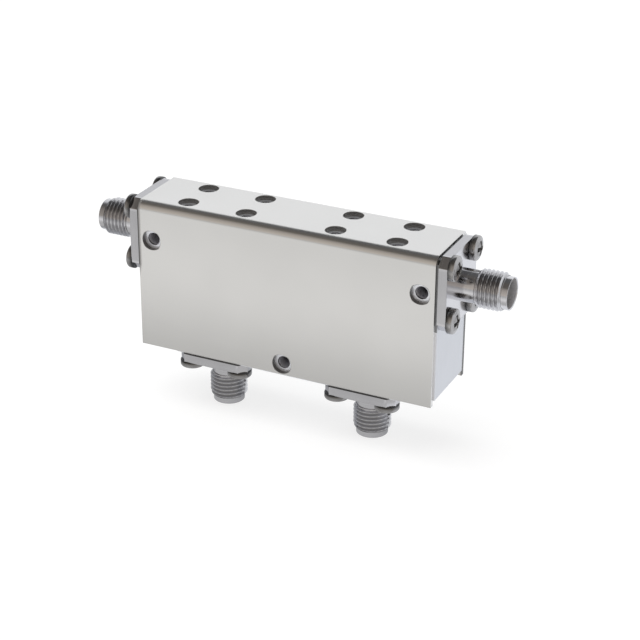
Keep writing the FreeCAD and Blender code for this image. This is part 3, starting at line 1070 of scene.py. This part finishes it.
def tapped_hole_mesh(settings):
    """Thread ridges of all eleven tapped holes, a hair inside their walls."""
    low, high = node_corners("housing")
    lower = mount("front_lower_hole")["dims"]
    inset = 0.002 * MM
    radius = lower["r_mm"] * MM - inset
    down = thread_turns(radius, settings.turn_height, settings.turn_pitch, TOP_THREAD_DEPTH)
    inward = thread_turns(radius, settings.turn_height, settings.turn_pitch, lower["length_mm"] * MM)
    turn = np.array(Matrix.Rotation(math.radians(90), 3, "X"))
    parts = [(down[0] + (x, y, high[2]), down[1]) for x, y, z in hole_centres(*TOP_HOLES)]
    parts += [(inward[0] @ turn.T + (x, low[1], z), inward[1]) for x, y, z in hole_centres(*FRONT_HOLES)]
    return mesh_from_faces("thread_turns", *joined(parts))


class CIRCULATOR_OT_shield_cover(bpy.types.Operator):
    """Folded shield sheet with its clear holes"""
    bl_idname = "circulator.shield_cover"
    bl_label = "Shield cover"

    def execute(self, context):
        settings = context.scene.circulator_cover
        mesh, wall = cover_mesh(settings)
        piece = new_piece("cover_sheet", mesh, sheet_metal(settings), ["shield_cover"],
                          thickened(wall, settings.edge_break))
        points = np.clip(mesh_points(piece.data), *node_corners("shield_cover"))
        piece.data.vertices.foreach_set("co", flat_row(points))
        write_share(piece.data, "recess", cover_painted_shade(points, settings))
        return {"FINISHED"}


class CIRCULATOR_OT_housing(bpy.types.Operator):
    """Milled block with broken edges, and the thread turns in its tapped holes"""
    bl_idname = "circulator.housing"
    bl_label = "Housing block"

    def execute(self, context):
        settings = context.scene.circulator_block
        copy = bpy.data.meshes.new("housing_copy")
        block = merged_mesh(copy, [frame["nodes"]["housing"].data], distance=1e-6)
        new_piece("housing_block", block, block_metal(settings), ["housing"],
                  broken_edges(settings.edge_break, 60.0))
        new_piece("thread_turns", tapped_hole_mesh(settings), thread_metal(), [])
        return {"FINISHED"}


class CIRCULATOR_OT_jacks(bpy.types.Operator):
    """Flange, neck, thread and mouth of the four jacks"""
    bl_idname = "circulator.jacks"
    bl_label = "Jacks"

    def execute(self, context):
        settings = context.scene.circulator_jack
        material = jack_metal(settings)
        for port in JACKS:
            lower = port.startswith("lower")
            mesh = jack_mesh(settings, settings.lower_chamfer if lower else settings.end_chamfer)
            own = mesh_points(mesh)
            shade_share = settings.lower_shade_share if lower else settings.shade_share
            write_share(mesh, "recess", jack_painted_shade(settings, own, RIM_SHADE[port], shade_share))
            write_share(mesh, "hollow", inside_mouth(settings, own))
            move_out(mesh, own, port)
            new_piece("jack_" + port, mesh, material, ["connector_shell_" + port])
        return {"FINISHED"}


class CIRCULATOR_OT_flange_screws(bpy.types.Operator):
    """Cross-recess screws of the four flanges"""
    bl_idname = "circulator.flange_screws"
    bl_label = "Flange screws"

    def execute(self, context):
        settings = context.scene.circulator_screw
        jack = context.scene.circulator_jack
        material = screw_metal(settings)
        draw = np.random.default_rng(11)
        for port in JACKS:
            mesh = mesh_from_faces("screws", *four_screws(settings, jack, draw))
            own = mesh_points(mesh)
            write_share(mesh, "recess", screw_painted_shade(settings, own, jack))
            move_out(mesh, own, port)
            new_piece("screws_" + port, mesh, material, ["flange_screws_" + port])
        return {"FINISHED"}


INSULATOR = (((0.93, 0.93, 0.91), (0.88, 0.88, 0.86)), (0.40, 0.55), 0.0)
CONTACT_TONES = ((0.95, 0.74, 0.38), (0.88, 0.66, 0.32))
PLATED = (((0.84, 0.85, 0.88), (0.78, 0.79, 0.83)), (0.30, 0.42), 1.0)
INNER_FINISHES = {
    "dielectric": INSULATOR,
    "spacer_ring": INSULATOR,
    "centre_contact": (CONTACT_TONES, (0.18, 0.30), 1.0),
    "centre_conductor": (CONTACT_TONES, (0.22, 0.34), 1.0),
    "ferrite": (((0.10, 0.10, 0.11), (0.06, 0.06, 0.07)), (0.45, 0.60), 0.0),
    "magnet": (((0.74, 0.74, 0.76), (0.66, 0.66, 0.68)), (0.20, 0.32), 1.0),
    "keeper": (((0.62, 0.62, 0.64), (0.52, 0.52, 0.54)), (0.30, 0.45), 1.0),
    "ground_disc": PLATED,
    "channel_cover": PLATED,
}


class CIRCULATOR_OT_inner_pieces(bpy.types.Operator):
    """Finishes of the solids that stay as they are"""
    bl_idname = "circulator.inner_pieces"
    bl_label = "Inner pieces"

    def execute(self, context):
        for kind, (tones, roughness, metallic) in INNER_FINISHES.items():
            material = inner_material(kind + "_finish", tones, roughness, metallic)
            for name, solid in frame["nodes"].items():
                if name.startswith(kind):
                    solid.data.materials.clear()
                    solid.data.materials.append(material)
        return {"FINISHED"}


def emptied(owner):
    """Node tree of a material or a world, without its first nodes."""
    owner.use_nodes = True
    owner.node_tree.nodes.clear()
    return owner.node_tree


def mirrored_floor(settings):
    """Node group for the floor as metal shows it: dim under the object, rising to bright behind it and
    right of it, and in front brightest a block's height away and falling off with distance. The dim part
    near the object is a painted shadow, and the bluish patch right of it a painted light, both seen in
    reflections only."""
    tree, given = new_group("mirrored_floor", {"Place": "Vector"}, {"Colour": "Color"})
    x, y = split(tree, given["Place"])[:2]
    near, middle = settings.near_floor_shadow, settings.bright
    # Painted shadow: the floor close in front is dimmer, as metal shows it
    front = grey_ramp(tree, remapped(tree, y, 0.0, -0.4), (
        (0.0, near),
        (0.065, near),
        (0.128, middle),
        (0.148, middle * 0.985),
        (0.175, middle * 0.91),
        (0.3, 0.68),
        (0.5, 0.56),
        (1.0, 0.52),
    ))
    # Painted shadow: the floor close behind is dimmer, as metal shows it
    back_stops = ((0.0, 0.35), (0.12, 0.45), (0.35, 0.82), (0.7, 0.91), (1.0, 0.92))
    back = tinted(tree, grey_ramp(tree, remapped(tree, y, 0.0, 0.06), back_stops), (0.98, 1.0, 1.04))
    both = mixed(tree, remapped(tree, y, -0.004, 0.002), front, back)
    # Painted light: a brighter bluish patch right of the object, as metal shows it
    right = all_of(tree, remapped(tree, x, 0.022, 0.030), remapped(tree, y, -0.014, -0.007))
    add_node(tree, "NodeGroupOutput", {"Colour": mixed(tree, right, both, (0.94, 0.96, 1.0, 1.0))})
    return tree


def floor_material(settings):
    """White floor: glow for the part that takes no shadow and a matte grey for the rest, with pure glow far
    out, where the lamp is faint. Seen from below it is clear, so that it never hides the underside."""
    material = bpy.data.materials.new("pale_floor")
    tree = emptied(material)
    where = object_place(tree)
    away = vector_of(tree, "LENGTH", where)["Value"]
    strength = remapped(tree, away, GLOW_START, GLOW_END, settings.glow, 1.0)
    glow = add_node(tree, "ShaderNodeEmission", {"Color": WHITE, "Strength": strength}).outputs[0]
    matte = add_node(tree, "ShaderNodeBsdfDiffuse", {"Color": FLOOR_MATTE}).outputs[0]
    seen = add_node(tree, "ShaderNodeAddShader", {0: glow, 1: matte}).outputs[0]
    levels = add_node(tree, "ShaderNodeGroup", {"Place": where}, node_tree=mirrored_floor(settings))
    tone = {"Color": levels.outputs["Colour"], "Strength": 1.0}
    mirrored = add_node(tree, "ShaderNodeEmission", tone).outputs[0]
    glossy = add_node(tree, "ShaderNodeLightPath").outputs["Is Glossy Ray"]
    below = add_node(tree, "ShaderNodeNewGeometry").outputs["Backfacing"]
    clear = add_node(tree, "ShaderNodeBsdfTransparent").outputs[0]
    above = mixed_shader(tree, glossy, seen, mirrored)
    add_node(tree, "ShaderNodeOutputMaterial", {"Surface": mixed_shader(tree, below, above, clear)})
    return material


def studio_world(settings):
    """Surround: white to the camera. Elsewhere a bright wall behind the object, up to a dark ceiling, and a
    darker room in front and to the left of it."""
    world = bpy.data.worlds.new("studio")
    bpy.context.scene.world = world
    tree = emptied(world)
    x, y, z = split(tree, add_node(tree, "ShaderNodeTexCoord").outputs["Generated"])
    wall, edge = math.sin(settings.wall_top), math.sin(settings.wall_top + settings.wall_fade)
    ceiling = (1.0, settings.ceiling)
    wall_stops = ((0.0, settings.wall), (wall, settings.wall), (edge, settings.ceiling))
    room_stops = ((0.0, 0.58), (0.2, 0.5), (0.45, 0.44), (0.62, 0.36), (0.80, settings.dark), ceiling)
    behind = tinted(tree, grey_ramp(tree, z, wall_stops), (0.985, 1.0, 1.025))
    room = tinted(tree, grey_ramp(tree, z, room_stops), (1.09, 1.0, 0.91))
    both = mixed(tree, remapped(tree, y, -0.25, 0.25), room, behind)
    left = remapped(tree, x, -0.52, -0.80, 1.0, 0.35)
    lit = add_node(tree, "ShaderNodeBackground", {"Color": both, "Strength": left}).outputs[0]
    white = add_node(tree, "ShaderNodeBackground", {"Color": WHITE, "Strength": 1.0}).outputs[0]
    camera = add_node(tree, "ShaderNodeLightPath").outputs["Is Camera Ray"]
    add_node(tree, "ShaderNodeOutputWorld", {"Surface": mixed_shader(tree, camera, lit, white)})


def add_floor(settings):
    """Square pale floor under the object, kept out of the object itself."""
    half = settings.floor_size / 2
    points = np.array([(-half, -half, 0), (half, -half, 0), (half, half, 0), (-half, half, 0)])
    floor = placed("floor", mesh_from_faces("floor", points, np.array([[0, 1, 2, 3]])))
    floor.data.materials.append(floor_material(settings))


def add_lamp(settings):
    """Large soft lamp above, aimed at the object, which metal doesn't show."""
    lamp = bpy.data.lights.new("soft_lamp", "AREA")
    lamp.size = LAMP_SIDE
    lamp.energy = settings.lamp_power
    holder = placed("soft_lamp", lamp)
    holder.location = LAMP_PLACE
    holder.rotation_euler = LAMP_PLACE.to_track_quat("Z", "Y").to_euler()
    holder.visible_glossy = False


def add_camera(settings):
    """Camera of the photo's view."""
    turn, rise = settings.azimuth, settings.elevation
    ahead = Vector((-math.sin(turn) * math.cos(rise), math.cos(turn) * math.cos(rise), -math.sin(rise)))
    lean = Matrix.Rotation(-settings.roll, 3, ahead)
    target = Vector((settings.target_x, 0.0, settings.target_z))
    camera = bpy.data.cameras.new("camera")
    camera.sensor_width = 36.0
    camera.lens = settings.lens
    camera.clip_start = 0.01
    camera.clip_end = 20.0
    viewer = placed("camera", camera)
    viewer.location = target - ahead * settings.distance
    viewer.rotation_euler = (lean @ ahead.to_track_quat("-Z", "Y").to_matrix()).to_euler()
    bpy.context.scene.camera = viewer


class CIRCULATOR_OT_stage(bpy.types.Operator):
    """Pale floor, soft surround, lamp and camera"""
    bl_idname = "circulator.stage"
    bl_label = "Stage"

    def execute(self, context):
        for step in (add_floor, studio_world, add_lamp, add_camera):
            step(context.scene.circulator_stage)
        context.scene.view_settings.view_transform = "Standard"
        return {"FINISHED"}


class CIRCULATOR_PT_sidebar(bpy.types.Panel):
    """Sizes, colours and build steps"""
    bl_idname = "CIRCULATOR_PT_sidebar"
    bl_label = "Circulator"
    bl_space_type = "VIEW_3D"
    bl_region_type = "UI"
    bl_category = "Circulator"

    def draw(self, context):
        for operator, group, kind in STEPS:
            column = self.layout.column(align=True)
            column.operator(operator.bl_idname)
            if group:
                settings = getattr(context.scene, group)
                for key in settings.bl_rna.properties.keys():
                    if key not in ("rna_type", "name"):
                        column.prop(settings, key)


STEPS = (
    (CIRCULATOR_OT_shield_cover, "circulator_cover", CoverSettings),
    (CIRCULATOR_OT_housing, "circulator_block", BlockSettings),
    (CIRCULATOR_OT_jacks, "circulator_jack", JackSettings),
    (CIRCULATOR_OT_flange_screws, "circulator_screw", ScrewSettings),
    (CIRCULATOR_OT_inner_pieces, None, None),
    (CIRCULATOR_OT_stage, "circulator_stage", StageSettings),
)


def register():
    """Registers the build steps, their settings and the panel."""
    for operator, group, kind in STEPS:
        bpy.utils.register_class(operator)
        if group:
            bpy.utils.register_class(kind)
            setattr(bpy.types.Scene, group, PointerProperty(type=kind))
    bpy.utils.register_class(CIRCULATOR_PT_sidebar)


def unregister():
    """Takes the panel, the build steps and their settings out again."""
    bpy.utils.unregister_class(CIRCULATOR_PT_sidebar)
    for operator, group, kind in reversed(STEPS):
        if group:
            delattr(bpy.types.Scene, group)
            bpy.utils.unregister_class(kind)
        bpy.utils.unregister_class(operator)


def main():
    """Builds the whole scene."""
    register()
    bpy.ops.circulator.shield_cover()
    bpy.ops.circulator.housing()
    bpy.ops.circulator.jacks()
    bpy.ops.circulator.flange_screws()
    bpy.ops.circulator.inner_pieces()
    bpy.ops.circulator.stage()


if __name__ == "__main__":
    main()
